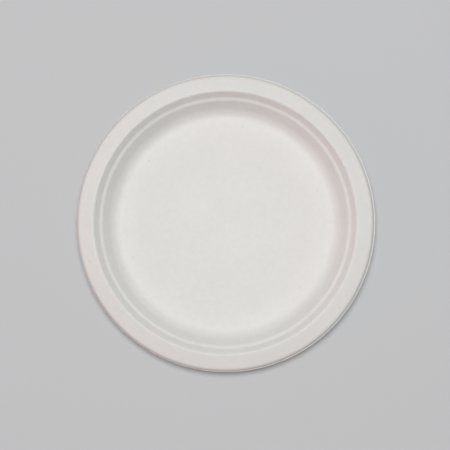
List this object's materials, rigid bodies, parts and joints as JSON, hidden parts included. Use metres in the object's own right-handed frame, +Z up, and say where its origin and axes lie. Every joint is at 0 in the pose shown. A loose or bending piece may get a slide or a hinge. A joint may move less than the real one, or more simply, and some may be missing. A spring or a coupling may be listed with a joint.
{
  "type": "paper plate",
  "caption": "Round plate pressed from pulp: a flat floor, a swept wall with a soft step, and a falling rim with a turned-down edge, for serving food.",
  "frame": {"origin": "middle of the underside of the floor, on the table", "axes": "+Z up along the axis that the plate turns about; +X and +Y are alike"},
  "size_m": [0.26, 0.26, 0.021],
  "materials": {
    "pulp": "matt, bleached off-white pressed pulp, smooth on the food side and faintly screen-marked underneath"
  },
  "bodies": {
    "root": {"plate": "pulp"}
  },
  "joints": []
}
